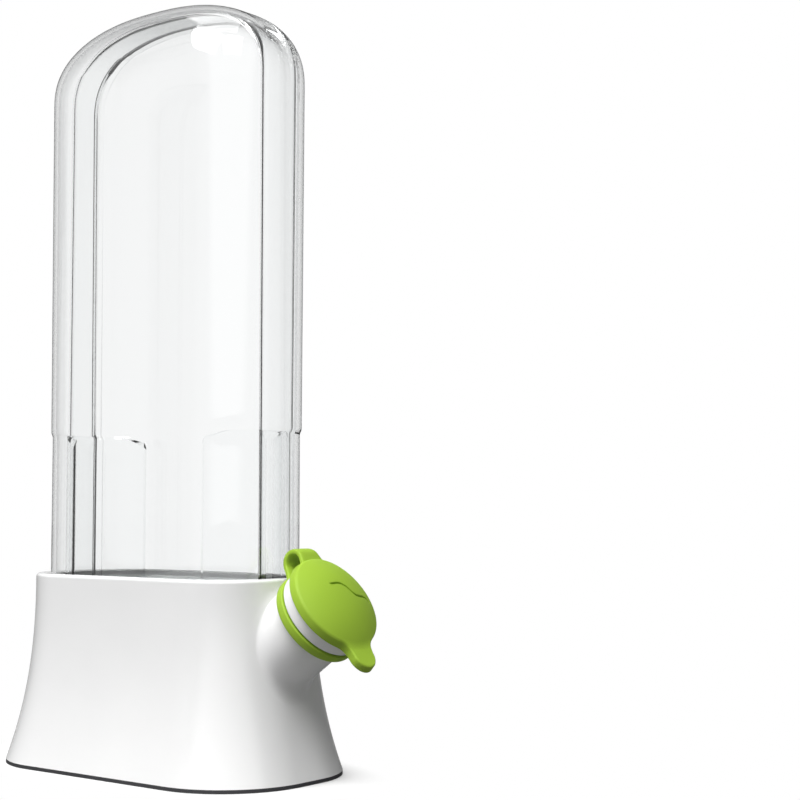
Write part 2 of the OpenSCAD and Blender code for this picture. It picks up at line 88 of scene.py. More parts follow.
# %% [markdown]
# ## From arrays to meshes
# Every new piece is a grid of points, or a few of them, joined into closed surfaces. Blender's
# own tools could model them by hand, but whole arrays keep every curve a formula that can be
# read and changed. A closed surface has a signed volume. Where that is negative, its faces
# point inwards, so they are turned over before the mesh is made.

# %% Helpers that turn grids of points into meshes
def grid_quads(rows, cols, wrap_rows=False, wrap_cols=True, start=0):
    """Quads that join each point (j, i) of a grid to (j, i+1), (j+1, i+1) and (j+1, i)."""
    j = np.arange(rows if wrap_rows else rows - 1)[:, None]
    i = np.arange(cols if wrap_cols else cols - 1)[None, :]
    k, n = (j + 1) % rows, (i + 1) % cols
    quads = [j * cols + i, j * cols + n, k * cols + n, k * cols + i]
    return np.stack(quads, axis=-1).reshape(-1, 4) + start


def fan(ring, centre):
    """Triangles from each edge of a closed ring of point numbers to one centre point."""
    return np.stack([ring, np.roll(ring, -1), np.full(len(ring), centre)], axis=1)


def signed_volume(points, faces):
    """A sixth of the sum of a . (b x c) over the faces' triangles a, b, c."""
    total = 0.0
    for f in faces:
        for k in range(1, f.shape[1] - 1):
            a, b, c = points[f[:, 0]], points[f[:, k]], points[f[:, k + 1]]
            total += np.einsum("ij,ij->i", a, np.cross(b, c)).sum() / 6
    return total


def closed_mesh(name, parts, sharp=38):
    """One object from closed parts, each a point array in mm and a list of face arrays."""
    points, polygons, start = [], [], 0
    for part_points, faces in parts:
        inward = signed_volume(part_points, faces) < 0
        for f in faces:
            polygons += ((f[:, ::-1] if inward else f) + start).tolist()
        points.append(part_points)
        start += len(part_points)
    mesh = bpy.data.meshes.new(name)
    mesh.from_pydata((np.concatenate(points) * MM).tolist(), [], polygons)
    mesh.update()
    mesh.shade_smooth()
    mesh.set_sharp_from_angle(angle=np.radians(sharp))
    piece = bpy.data.objects.new(name, mesh)
    bpy.context.scene.collection.objects.link(piece)
    print(f"{name}: {len(mesh.vertices)} points, {len(mesh.polygons)} faces")
    return piece


def capped_grid(grid):
    """A grid of closed rings, shut at each end with a fan to the middle of its last ring."""
    rows, cols = grid.shape[:2]
    points = np.concatenate([grid.reshape(-1, 3), [grid[0].mean(0)], [grid[-1].mean(0)]])
    first = fan(np.arange(cols), rows * cols)[:, ::-1]
    last = fan(np.arange(cols) + (rows - 1) * cols, rows * cols + 1)
    return points, [grid_quads(rows, cols), first, last]


def looped_grid(grid):
    """A grid of closed rings whose last ring joins the first one, like a tyre."""
    rows, cols = grid.shape[:2]
    return grid.reshape(-1, 3), [grid_quads(rows, cols, wrap_rows=True)]


def arc(centre, radius, start, end, steps):
    """Points of a circle in the plane of a profile, from one angle to another in degrees."""
    a = np.radians(np.linspace(start, end, steps))
    return np.stack([centre[0] + radius * np.cos(a), centre[1] + radius * np.sin(a)], axis=1)


# %% [markdown]
# ## Finishes
# Moulded plastic is never one flat value. Each opaque finish has a faint mottle in its colour, a
# roughness that wanders a little and a very fine bump. The clear finishes instead have a painted
# shade in their colour, greyer where they are seen edge on. Pictures could carry these, but noise
# worked out by the shader needs no seams and no unwrapping. It is all read from Object
# coordinates, so that it stays put from every side and in every pose.

# %% Helpers for the node trees
def new_material(name):
    """A material with its node tree and its Principled shader."""
    material = bpy.data.materials.new(name)
    material.use_nodes = True
    tree = material.node_tree
    print("material:", material.name)
    return material, tree, tree.nodes["Principled BSDF"]


def feed(tree, socket, value):
    """Links another node's output to a socket, or sets the socket to a plain value."""
    if isinstance(value, bpy.types.NodeSocket):
        tree.links.new(value, socket)
    else:
        socket.default_value = value


def maths(tree, operation, *values):
    """The result of a Math node, from outputs of other nodes and plain numbers."""
    node = tree.nodes.new("ShaderNodeMath")
    node.operation = operation
    for socket, value in zip(node.inputs, values):
        feed(tree, socket, value)
    return node.outputs["Value"]


def vector_maths(tree, operation, vector, other=None, result="Value"):
    """The result of a Vector Math node on one output and, where it needs one, a fixed vector."""
    node = tree.nodes.new("ShaderNodeVectorMath")
    node.operation = operation
    tree.links.new(vector, node.inputs[0])
    if other is not None:
        node.inputs[1].default_value = other
    return node.outputs[result]


def soft_step(tree, value, low, high):
    """0 up to a low value, 1 from a high value and an S-shaped rise between."""
    node = tree.nodes.new("ShaderNodeMapRange")
    node.interpolation_type = "SMOOTHSTEP"
    node.inputs["From Min"].default_value = low
    node.inputs["From Max"].default_value = high
    tree.links.new(value, node.inputs["Value"])
    return node.outputs["Result"]


def noise(tree, scale, detail=3.0, stretch=(1, 1, 1)):
    """A noise texture on Object coordinates, with its own scale along each axis."""
    where = tree.nodes.new("ShaderNodeTexCoord")
    mapping = tree.nodes.new("ShaderNodeMapping")
    mapping.inputs["Scale"].default_value = stretch
    texture = tree.nodes.new("ShaderNodeTexNoise")
    texture.inputs["Scale"].default_value = scale
    texture.inputs["Detail"].default_value = detail
    tree.links.new(where.outputs["Object"], mapping.inputs["Vector"])
    tree.links.new(mapping.outputs["Vector"], texture.inputs["Vector"])
    return texture.outputs["Fac"]


def spread(tree, value, low, high):
    """Spreads the middle of a noise over the range from low to high."""
    node = tree.nodes.new("ShaderNodeMapRange")
    node.inputs["From Min"].default_value = 0.3
    node.inputs["From Max"].default_value = 0.7
    node.inputs["To Min"].default_value = low
    node.inputs["To Max"].default_value = high
    tree.links.new(value, node.inputs["Value"])
    return node.outputs["Result"]


def mix_two_colours(tree, value, dark, light):
    """A colour between two shades, led by a value: a noise for a mottle, the facing for a painted
    edge shade, or the ray type for the floor.
    """
    node = tree.nodes.new("ShaderNodeMix")
    node.data_type = "RGBA"
    node.inputs["A"].default_value = (*dark, 1)
    node.inputs["B"].default_value = (*light, 1)
    tree.links.new(value, node.inputs["Factor"])
    return node.outputs["Result"]


def bump(tree, value, strength, distance):
    """A bump whose height follows a noise; distance is in metres."""
    node = tree.nodes.new("ShaderNodeBump")
    node.inputs["Strength"].default_value = strength
    node.inputs["Distance"].default_value = distance
    tree.links.new(value, node.inputs["Height"])
    return node.outputs["Normal"]


def moulded(name, dark, light, rough, grain_scale, grain, coat=0.0, ior=1.5):
    """A moulded finish: two close shades, a wandering roughness and a fine grain."""
    material, tree, shader = new_material(name)
    colour = mix_two_colours(tree, spread(tree, noise(tree, 18, 4), 0, 1), dark, light)
    tree.links.new(colour, shader.inputs["Base Color"])
    tree.links.new(spread(tree, noise(tree, 60, 5), *rough), shader.inputs["Roughness"])
    tree.links.new(bump(tree, noise(tree, grain_scale, 4), grain, 0.0002), shader.inputs["Normal"])
    shader.inputs["IOR"].default_value = ior
    shader.inputs["Coat Weight"].default_value = coat
    shader.inputs["Coat Roughness"].default_value = 0.12
    return material


def clear_moulded(name, middle, edge, rough, ior, power):
    """A clear plastic whose colour is painted greyer where it is seen edge on, a painted shade at
    its edges, with faint moulding waves.
    """
    material, tree, shader = new_material(name)
    facing = tree.nodes.new("ShaderNodeLayerWeight")
    facing.inputs["Blend"].default_value = 0.5
    # The facing, raised to a power, leads a painted edge shade: the colour goes from the middle
    # shade to the edge shade as the surface turns edge on.
    painted_edge_shade = maths(tree, "POWER", facing.outputs["Facing"], power)
    tree.links.new(mix_two_colours(tree, painted_edge_shade, middle, edge), shader.inputs["Base Color"])
    tree.links.new(spread(tree, noise(tree, 40, 3), *rough), shader.inputs["Roughness"])
    waves = bump(tree, noise(tree, 9, 2, stretch=(1, 1, 0.25)), 0.07, 0.0006)
    tree.links.new(waves, shader.inputs["Normal"])
    shader.inputs["IOR"].default_value = ior
    shader.inputs["Transmission Weight"].default_value = 1.0
    return material


# %% The finishes of the keeper
white_gloss = moulded("white_gloss", (0.80, 0.80, 0.80), (0.84, 0.84, 0.838),
                      (0.16, 0.24), 900, 0.05, coat=0.35)
well_satin = moulded("well_satin", (0.74, 0.76, 0.76), (0.79, 0.81, 0.81), (0.32, 0.42), 700, 0.08)
plate_matt = moulded("plate_matt", (0.72, 0.72, 0.72), (0.78, 0.78, 0.78), (0.55, 0.65), 800, 0.2)
green_silicone = moulded("green_silicone", (0.29, 0.455, 0.035), (0.325, 0.50, 0.042),
                         (0.50, 0.60), 1400, 0.12, ior=1.33)
foot_rubber = moulded("foot_rubber", (0.030, 0.030, 0.033), (0.042, 0.042, 0.046),
                      (0.62, 0.75), 1500, 0.3)
seal_rubber = moulded("seal_rubber", (0.09, 0.09, 0.095), (0.12, 0.12, 0.125),
                      (0.55, 0.68), 1500, 0.3)
# The second colour of each clear finish is the painted shade at its edges.
clear_pod = clear_moulded("clear_pod", (0.985, 0.99, 0.99), (0.13, 0.14, 0.145), (0.0, 0.02),
                          1.42, 2.6)
clear_tray = clear_moulded("clear_tray", (0.98, 0.985, 0.985), (0.55, 0.58, 0.59), (0.02, 0.05),
                           1.20, 3.0)


def finish(piece, material):
    """Gives a piece its one material."""
    piece.data.materials.clear()
    piece.data.materials.append(material)


# %% [markdown]
# ## The flared base
# The base is one glossy white moulding. Seen from above it is a rounded rectangle at every
# height, and the skirt sweeps out late, by a power of the distance below the rim. The rim
# turns in and goes down as a collar round the clear pod. A loft of a few outlines would come
# close, but gloss shows every wave in a skirt. So one grid of rings, each from the same
# formula, makes the whole closed wall, and its shading has no seam.

# %% The skirt, the rim and the collar in one closed surface
CORNER_STEPS = 24
FOOT_EDGE, SEAT_ROUND, RIM_UNDER = 0.35, 0.7, RIM_H - BASE_WALL - 0.6


def rounded_ring(w, d, r, z):
    """A ring of a rounded rectangle: four corner centres plus a quarter circle round each."""
    a = (np.arange(4)[:, None] * 90 + np.linspace(0, 90, CORNER_STEPS)[None, :]).ravel()
    sx = np.repeat([1, -1, -1, 1], CORNER_STEPS)
    sy = np.repeat([1, 1, -1, -1], CORNER_STEPS)
    a = np.radians(a)
    x = sx * (w / 2 - r) + r * np.cos(a)
    y = sy * (d / 2 - r) + r * np.sin(a)
    return np.stack([x, y, np.full_like(x, z)], axis=1)


def flare(z):
    """The share of the flare at height z: (1 - z / rim height) to a power."""
    return np.maximum(0, 1 - z / RIM_H) ** FLARE_POWER


def skirt_ring(z, inset):
    """The skirt's rounded rectangle at height z, pushed in by an inset."""
    t = flare(z)
    return rounded_ring(RIM_W + 2 * (FLARE_W * t - inset), RIM_D + 2 * (FLARE_D * t - inset),
                        RIM_R + CORNER_GAIN * FLARE_W * t - inset, z)


def seat_ring(z, offset):
    """The pod's own outline at height z, pushed out by an offset."""
    return rounded_ring(POD_W + 2 * offset, POD_D + 2 * offset, POD_R + offset, z)


skirt_z = FOOT_H + (RIM_H - RIM_ROUND - FOOT_H) * (1 - np.linspace(1, 0, 60) ** 1.3)
rim_a = np.radians(np.linspace(10, 90, 9))
seat_a = np.radians(np.linspace(0, 90, 6))
inner_z = np.linspace(RIM_UNDER, FOOT_H, 30)
base_rings = (
    [skirt_ring(FOOT_H, FOOT_EDGE)] + [skirt_ring(z, 0) for z in skirt_z]
    + [skirt_ring(RIM_H - RIM_ROUND * (1 - np.sin(a)), RIM_ROUND * (1 - np.cos(a)))
       for a in rim_a]
    + [seat_ring(RIM_H - SEAT_ROUND * (1 - np.cos(a)), RIM_GAP + SEAT_ROUND * (1 - np.sin(a)))
       for a in seat_a]
    + [seat_ring(COLLAR_Z, RIM_GAP), seat_ring(COLLAR_Z, RIM_GAP + COLLAR_WALL)]
    + [seat_ring(RIM_UNDER, RIM_GAP + COLLAR_WALL)]
    + [skirt_ring(z, BASE_WALL) for z in inner_z])
white_base = closed_mesh("white_base", [looped_grid(np.stack(base_rings))])
finish(white_base, white_gloss)

# %% [markdown]
# ## The filling spout
# The keeper is filled through a slanted neck at the end of the base. A Boolean union of a tube
# and the skirt would leave a hard line where the real moulding flows. So the neck is round only
# near its lip. Lower down, at every angle round it, a cubic curve leaves the neck along its
# axis and meets the skirt along its face. The same closed surface turns in at the lip and goes
# down as the mouth, the funnel and the throat.

# %% The neck with its lip, its blend into the skirt and its bore
def from_spout(x, y, z):
    """From the spout's frame (x towards its lower side, z along its axis) to the keeper's."""
    s, c = np.sin(SPOUT_TILT), np.cos(SPOUT_TILT)
    x, y, z = np.broadcast_arrays(np.asarray(x, float), y, z)
    return np.stack([SPOUT_X + x * s + z * c, y, SPOUT_Z - x * c + z * s], axis=-1)


def turned(profile, steps=144):
    """A profile of (radius, height) carried round the spout's axis, one ring a row."""
    a = np.linspace(0, 2 * np.pi, steps, endpoint=False)[None, :]
    r, h = profile[:, 0][:, None], profile[:, 1][:, None]
    return from_spout(r * np.cos(a), r * np.sin(a), h + 0 * a)


def skirt_point(y, z, inset=0.0):
    """The skirt's face on the spout's side: its corner arc's middle plus the arc at depth y."""
    t = flare(z)
    r = RIM_R + CORNER_GAIN * FLARE_W * t
    dy = np.maximum(0, np.abs(y) - (RIM_D / 2 + FLARE_D * t - r))
    x = RIM_W / 2 + FLARE_W * t - r - inset + np.sqrt(r ** 2 - dy ** 2)
    return np.stack([x, y, z], axis=-1)


def root_point(a, share, inset=0.0):
    """The oval on the skirt where the neck ends, shrunk by a share, at angle a."""
    return skirt_point(ROOT_W * share * np.sin(a), ROOT_Z - ROOT_H * share * np.cos(a), inset)


NECK_STEPS, BLEND_PULL = 144, 0.38
around = np.linspace(0, 2 * np.pi, NECK_STEPS, endpoint=False)
leave_s = (NECK_LOW + NECK_HIGH) / 2 + (NECK_LOW - NECK_HIGH) / 2 * np.cos(around)
p0 = from_spout(NECK_R * np.cos(around), NECK_R * np.sin(around), -leave_s)
p3 = root_point(around, 1.0)
pull = BLEND_PULL * np.linalg.norm(p3 - p0, axis=1)[:, None]
axis = from_spout(0, 0, 1) - from_spout(0, 0, 0)
along = root_point(around, 0.8) - p3
along /= np.linalg.norm(along, axis=1)[:, None]
p1, p2 = p0 - pull * axis, p3 + pull * along
t = np.linspace(0, 1, 26)[:, None, None]
blend_rows = ((1 - t) ** 3 * p0 + 3 * t * (1 - t) ** 2 * p1 + 3 * t ** 2 * (1 - t) * p2
              + t ** 3 * p3)
buried_rows = np.stack([root_point(around, f, 1.1) for f in (0.99, 0.8, 0.66)])
lip_under = -CAP_GAP - LIP_H


def tube_ring(radius, x):
    """A ring of a tube round the spout's axis, cut off by the upright plane at x."""
    s = (x - SPOUT_X - radius * np.cos(around) * np.sin(SPOUT_TILT)) / np.cos(SPOUT_TILT)
    return from_spout(radius * np.cos(around), radius * np.sin(around), s)


throat_rows = np.stack([tube_ring(THROAT_R, x) for x in (WELL_X, 54.0, 59.0)])
tube_rows = np.stack([tube_ring(THROAT_R + THROAT_WALL, x) for x in (57.6, 53.0, WELL_X)])
mouth_profile = np.concatenate([
    [[THROAT_R, -MOUTH_DEPTH - 4.6]],
    [[THROAT_R + 0.5, -MOUTH_DEPTH - 3.8], [MOUTH_R - 0.5, -MOUTH_DEPTH - 0.4]],
    [[MOUTH_R, -MOUTH_DEPTH + 0.5], [MOUTH_R, -6], [MOUTH_R, -CAP_GAP - 3 * LIP_BEVEL]],
    arc((MOUTH_R + LIP_BEVEL + 0.3, -CAP_GAP - 0.3), 0.3, 160, 90, 6),
    arc((LIP_R - 0.8, -CAP_GAP - 0.8), 0.8, 90, 0, 8),
    arc((LIP_R - 0.6, lip_under + 0.6), 0.6, 0, -90, 7),
    [[NECK_R + 0.3, lip_under], [NECK_R, lip_under - 0.4], [NECK_R, lip_under - 2]]])
neck_rows = np.concatenate([throat_rows, turned(mouth_profile, NECK_STEPS),
                            blend_rows, buried_rows, tube_rows])
spout_neck = closed_mesh("spout_neck", [looped_grid(neck_rows)])
finish(spout_neck, white_gloss)

# %% [markdown]
# The skirt's own wall still runs across the throat, so a rod a little wider than the throat
# is taken out of it. A Boolean is fine here, because the cut lies inside the neck, where
# nobody sees its edge.

# %% Open the skirt's wall where the throat passes
DRILL_R, DRILL_END, DRILL_TOP = THROAT_R + 0.1, -36.0, -8.0
drill = closed_mesh("throat_drill", [capped_grid(turned(np.array(
    [[DRILL_R, DRILL_END], [DRILL_R, DRILL_TOP]]), 64))])
opening = white_base.modifiers.new("throat", "BOOLEAN")
opening.operation = "DIFFERENCE"
opening.solver = "EXACT"
opening.object = drill
bpy.context.view_layer.objects.active = white_base
bpy.ops.object.modifier_apply(modifier=opening.name)
bpy.data.objects.remove(drill)
print("white_base after the cut:", len(white_base.data.polygons), "faces")
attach(white_base, "base")
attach(spout_neck, "base")
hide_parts("base_shell")

# %% [markdown]
# ## The clear pod
# The pod is two half shells with one outline: straight sides that widen a little, an arch that
# is a superellipse, and every edge rounded towards the flat faces. The front shell is the outer
# one, and the rear shell's tongue slides inside it. A rounded box with a Solidify modifier
# would give neither the step nor the tongue, and clear plastic shows both walls. So each skin
# is its own surface: a point is given by its place along the outline, its inset and its depth y.

# %% One half shell as a closed surface
STEP_LOW, STEP_RISE = STEP_Z - 1, 2.2
LEG_Z = np.concatenate([[POD_Z], np.linspace(66, STEP_LOW, 10),
                        STEP_LOW + STEP_RISE * np.array([0.25, 0.5, 0.75, 1.0]),
                        np.linspace(134, SPRING_Z - 4, 16)])
ARCH_ANGLES = np.radians(np.linspace(180, 0, 97))


def half_width(z, rail):
    """Half the pod's width below the arch: a soft step and a slow draft, but none on a rail."""
    rise = np.clip((z - STEP_LOW) / STEP_RISE, 0, 1)
    step = STEP_IN * rise * rise * (3 - 2 * rise)
    draft = POD_DRAFT * np.clip((z - STEP_Z) / (SPRING_Z - STEP_Z), 0, 1)
    return POD_A + np.where(rail, 0, step + draft)


def outline(inset, rail):
    """Left leg, arch and right leg, inset: |x/a|^p + |z/h|^p = 1 above the spring line."""
    a = half_width(SPRING_Z, rail) - inset
    leg_x = half_width(LEG_Z, rail) - inset
    c, s = np.cos(ARCH_ANGLES), np.sin(ARCH_ANGLES).clip(0)
    arch_x = a * np.sign(c) * np.abs(c) ** (2 / ARCH_POWER)
    arch_z = SPRING_Z + (ARCH_H - inset) * s ** (2 / ARCH_POWER)
    return (np.concatenate([-leg_x, arch_x, leg_x[::-1]]),
            np.concatenate([LEG_Z, arch_z, LEG_Z[::-1]]))


def shell_skin(profile):
    """A skin from (inset, y, rail) rows: the outline moves in by 1 - sqrt(1 - (dy/r)^2)."""
    columns = []
    for inset, y, rail in profile:
        r = POD_R - inset
        dy = np.clip(abs(y) - POD_CORE, 0, r)
        f = 1 - np.sqrt(1 - (dy / r) ** 2)
        x, z = outline(inset, rail > 0)
        core_x, core_z = outline(POD_R, rail > 0)
        columns.append(np.stack([x + (core_x - x) * f, 0 * x + y, z + (core_z - z) * f], axis=1))
    return np.stack(columns, axis=1)


def to_face(inset, side, from_y, steps=22):
    """Profile rows round the pod's edge, from depth from_y to the flat face."""
    r = POD_R - inset
    a = np.linspace(np.arcsin(max(0, side * from_y - POD_CORE) / r), np.pi / 2, steps + 1)[1:]
    return [(inset, side * (POD_CORE + r * np.sin(v)), 0) for v in a]


def strips_across(m, n, start):
    """Quads between a skin's last column on the left leg and the same on the right leg."""
    j = np.arange((m - 1) // 2 - 1)
    at = start + n - 1
    quads = np.stack([at + j * n, at + (j + 1) * n, at + (m - 2 - j) * n, at + (m - 1 - j) * n], 1)
    top = (m - 1) // 2
    return quads, np.array([[at + (top - 1) * n, at + top * n, at + (top + 1) * n]])


def half_shell(outer, inner):
    """Outer and inner skin, joined along the seam, the foot and across both flat faces."""
    a, b = shell_skin(outer), shell_skin(inner)
    m, n = a.shape[:2]
    points = np.concatenate([a.reshape(-1, 3), b.reshape(-1, 3)])
    inside, right = m * n, (m - 1) * n
    j, i = np.arange(m - 1), np.arange(n - 1)
    seam = np.stack([j * n, inside + j * n, inside + (j + 1) * n, (j + 1) * n], 1)
    left_foot = np.stack([i, i + 1, inside + i + 1, inside + i], 1)
    right_foot = right + left_foot[:, [1, 0, 3, 2]]
    flat_foot = np.array([[n - 1, right + n - 1, inside + right + n - 1, inside + n - 1]])
    outer_quads, outer_tri = strips_across(m, n, 0)
    inner_quads, inner_tri = strips_across(m, n, inside)
    skins = [grid_quads(m, n, wrap_cols=False)[:, ::-1],
             grid_quads(m, n, wrap_cols=False, start=inside)]
    faces = skins + [seam, left_foot, right_foot, flat_foot, outer_quads, outer_tri,
                     inner_quads[:, ::-1], inner_tri[:, ::-1]]
    return points, faces


# %% The front shell and the rear shell
tongue_off = POD_WALL + SHELL_GAP
inner_off = tongue_off + TONGUE_WALL
shoulder_y = OVERLAP + SHELL_GAP
inner_y = shoulder_y + POD_WALL
bend_y = inner_y + inner_off - POD_WALL
ROUND = 0.35
EDGE = [(ROUND, 0.0), (0.1, 0.1), (0.0, ROUND)]
front_outer = ([(i, OVERLAP - y, 0) for i, y in EDGE] + [(0, POD_CORE, 0), (0, -POD_CORE, 0)]
               + to_face(0, -1, POD_CORE))
front_inner = ([(POD_WALL - i, OVERLAP - y, 0) for i, y in EDGE]
               + [(POD_WALL, POD_CORE, 0), (POD_WALL, -POD_CORE, 0)]
               + to_face(POD_WALL, -1, POD_CORE))
rear_outer = ([(tongue_off + i, -OVERLAP + y, 1) for i, y in EDGE]
              + [(tongue_off, -POD_CORE, 1), (tongue_off, POD_CORE, 1)]
              + [(tongue_off, shoulder_y, 1), (ROUND, shoulder_y + 0.3, 0)]
              + [(0, shoulder_y + 0.6, 0)] + to_face(0, 1, shoulder_y + 0.6))
rear_inner = ([(inner_off - i, -OVERLAP + y, 1) for i, y in EDGE]
              + [(inner_off, -POD_CORE, 1), (inner_off, POD_CORE, 1)]
              + [(inner_off, inner_y - 0.6, 1), (inner_off - 0.2, inner_y + 0.3, 0)]
              + [(POD_WALL, bend_y, 0)] + to_face(POD_WALL, 1, bend_y))
front_shell = closed_mesh("front_shell", [half_shell(front_outer, front_inner)])
rear_shell = closed_mesh("rear_shell", [half_shell(rear_outer, rear_inner)])
for shell, body, node in ((front_shell, "pod_front", "front_cover"),
                          (rear_shell, "pod_rear", "rear_cover")):
    finish(shell, clear_pod)
    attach(shell, body)
    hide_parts(node)

# %% [markdown]
# ## The stopper
# The stopper is one soft moulding: a shallow dome with a straight edge, a pull tab and a plug.
# A subdivided cage could give the dome, but its tab would need many hand-set edges. Here the
# outline is a circle joined to the tab's rounded end by a smooth maximum of two radii, which
# leaves the small fillets that moulded rubber has. A curved groove like a leaf's vein crosses
# the dome. It is placed by points of the photograph, carried back onto the dome along the
# camera's rays, so the camera is worked out first.

# %% The camera's place and aim
CAMERA_TURN, CAMERA_REACH, CAMERA_H = np.radians(45.769), 633.3, 101.1
CAMERA_YAW, CAMERA_PITCH = np.radians(7.972), np.radians(3.572)
FOCAL_PX, FRAME_PX = 1618.4, 800.0
eye = np.array([CAMERA_REACH * np.sin(CAMERA_TURN), -CAMERA_REACH * np.cos(CAMERA_TURN), CAMERA_H])
level = np.array([-np.sin(CAMERA_TURN - CAMERA_YAW), np.cos(CAMERA_TURN - CAMERA_YAW), 0])
rightward = np.array([level[1], -level[0], 0])
forward = level * np.cos(CAMERA_PITCH) + np.array([0, 0, np.sin(CAMERA_PITCH)])
upward = np.cross(rightward, forward)
print("camera at", eye.round(1), "mm, looking along", forward.round(4))


# %% The groove on the dome, from pixels to the spout's frame
def onto_cap(pixels, height):
    """Where the rays through pixels of an 800 x 800 picture meet a plane across the spout."""
    px = np.asarray(pixels, float) - FRAME_PX / 2
    rays = FOCAL_PX * forward + px[:, :1] * rightward - px[:, 1:] * upward
    s, c = np.sin(SPOUT_TILT), np.cos(SPOUT_TILT)
    normal = np.array([c, 0, s])
    start = np.array([SPOUT_X, 0, SPOUT_Z]) + np.reshape(height, (-1, 1)) * normal
    reach = ((start - eye) @ normal) / (rays @ normal)
    hit = eye + reach[:, None] * rays - start
    return np.stack([hit @ np.array([s, 0, -c]), hit[:, 1]], axis=1)


def dome_height(x, y):
    """The shallow dome: its rise falls with (r / cap radius) to a power."""
    return CAP_EDGE + CAP_CROWN * (1 - (np.hypot(x, y) / CAP_R) ** DOME_POWER)


VEIN_PIXELS = [(330.3, 583.3), (335, 582.8), (341.7, 583.7), (347.5, 587.5), (353.3, 592.5),
               (358.3, 595.8), (363.3, 597), (369.2, 602.5)]
vein = onto_cap(VEIN_PIXELS, CAP_EDGE + 0.75 * CAP_CROWN)
for _ in range(4):
    vein = onto_cap(VEIN_PIXELS, dome_height(vein[:, 0], vein[:, 1]))
coarse, fine = np.linspace(0, 1, len(vein)), np.linspace(0, 1, 90)
vein_x = np.polyval(np.polyfit(coarse, vein[:, 0], 5), fine)
vein_y = np.polyval(np.polyfit(coarse, vein[:, 1], 5), fine)
print("vein from", (vein_x[0].round(1), vein_y[0].round(1)), "to",
      (vein_x[-1].round(1), vein_y[-1].round(1)))

# %% The cap with its tab and its groove
TOP_ROUND, LOW_ROUND, TAB_FILLET = 0.8, 0.3, 8.0
VEIN_DEEP, VEIN_WIDE, VEIN_THIN = 1.8, 0.26, 0.08


def smooth_max(a, b, k):
    """The larger of two values, rounded over a width k."""
    h = np.clip(0.5 + 0.5 * (a - b) / k, 0, 1)
    return b + (a - b) * h + k * h * (1 - h)


def smooth_step(v):
    """0 below 0, 1 above 1 and 3v^2 - 2v^3 between."""
    v = np.clip(v, 0, 1)
    return v * v * (3 - 2 * v)


def tab_reach(a):
    """How far the tab's rounded end reaches from the cap's middle at angle a."""
    half, centre = TAB_W / 2, CAP_R + TAB_L - TAB_W / 2
    s = np.maximum(np.abs(np.sin(a)), 1e-6)
    side = half / s
    end = centre * np.cos(a) + np.sqrt(np.maximum(half ** 2 - (centre * s) ** 2, 0))
    on_end = (centre * s < half) & (side * np.cos(a) > centre)
    return np.where(np.cos(a) > 0, np.where(on_end, end, side), 0)


def top_height(x, y):
    """The dome, joined softly to the tab's level face outside the cap's own edge."""
    return smooth_max(dome_height(x, y), TAB_TOP * smooth_step(x / 8), 0.9)


def vein_depth(x, y):
    """The groove: deepest at the vein and gone half a millimetre away, thinning at its ends."""
    away = np.hypot(x[..., None] - vein_x, y[..., None] - vein_y)
    nearest = away.argmin(-1)
    thin = np.sin(np.pi * np.clip(0.04 + 0.92 * fine[nearest], 0, 1)) ** 0.35
    return VEIN_DEEP * thin * np.exp(-(away.min(-1) / (VEIN_WIDE * thin + VEIN_THIN)) ** 3)


even = np.linspace(-np.pi, np.pi, 480, endpoint=False)
angle = even - 0.55 * np.sin(even)
radius = smooth_max(np.full_like(angle, CAP_R), tab_reach(angle), TAB_FILLET)
edge = np.stack([radius * np.cos(angle), radius * np.sin(angle)], axis=1)
run = np.roll(edge, -1, axis=0) - np.roll(edge, 1, axis=0)
outwards = np.stack([run[:, 1], -run[:, 0]], axis=1) / np.linalg.norm(run, axis=1)[:, None]
grid = []
# The top with its groove, from the middle out to where the edge starts to round.
for share in np.linspace(0.004, 1, 150):
    x, y = (share * (edge - (CAP_TAPER + TOP_ROUND) * outwards)).T
    grid.append(from_spout(x, y, top_height(x, y) - vein_depth(x, y)))
# The rounded upper edge, which leans in by the taper.
for a in np.radians(np.linspace(10, 90, 9)):
    x, y = (edge - (CAP_TAPER + TOP_ROUND * (1 - np.sin(a))) * outwards).T
    grid.append(from_spout(x, y, top_height(x, y) - TOP_ROUND * (1 - np.cos(a))))
# The straight side and its small lower round, which ends a little below the lip's face.
for a in np.radians(np.linspace(0, 90, 5)):
    x, y = (edge - LOW_ROUND * (1 - np.cos(a)) * outwards).T
    grid.append(from_spout(x, y, LOW_ROUND * (1 - np.sin(a)) - CAP_SKIRT))
# The underside, set back to the height at which it lies on the lip.
for inwards, z in ((0.8, -CAP_SKIRT), (1.1, -0.02), (1.6, 0.0)):
    x, y = (edge - inwards * outwards).T
    grid.append(from_spout(x, y, z + 0 * angle))
for share in (0.7, 0.3):
    x, y = (share * edge).T
    grid.append(from_spout(x, y, 0 * angle))
# The plug: slightly tapered, rounded at its end and with a shallow hollow in it.
plug_r = MOUTH_R - 0.1
plug_profile = np.concatenate([
    [[0.01, -PLUG_H + 1.2], [plug_r - 3.4, -PLUG_H + 1.2], [plug_r - 3.1, -PLUG_H + 0.9],
     [plug_r - 2.9, -PLUG_H], [plug_r - 1.7, -PLUG_H]],
    [[plug_r - 1.1, -PLUG_H + 0.25], [plug_r - 0.75, -PLUG_H + 1.0]],
    [[plug_r - 0.05, -4.4], [plug_r, -3.8], [plug_r, 0.4], [0.01, 0.5]]])
stopper = closed_mesh("stopper_cap", [capped_grid(np.stack(grid)),
                                      capped_grid(turned(plug_profile, 120))], sharp=50)
finish(stopper, green_silicone)
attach(stopper, "stopper")
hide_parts("spout_cap")

# %% [markdown]
# ## The strap and its collar
# A soft band comes out of the collar, loops away from the neck and runs onto the cap, so that the
# stopper can't get lost. A curve with a bevel could draw it, but not its wider ends. So a rounded
# cross-section is carried along a path in the spout's middle plane. The band bends when the cap
# swings; here it is one fixed mesh.

# %% The strap as a section carried along its loop
LOOP_V = STRAP_H + 0.3 - LOOP_R
MID_R = LOOP_R - STRAP_H / 2


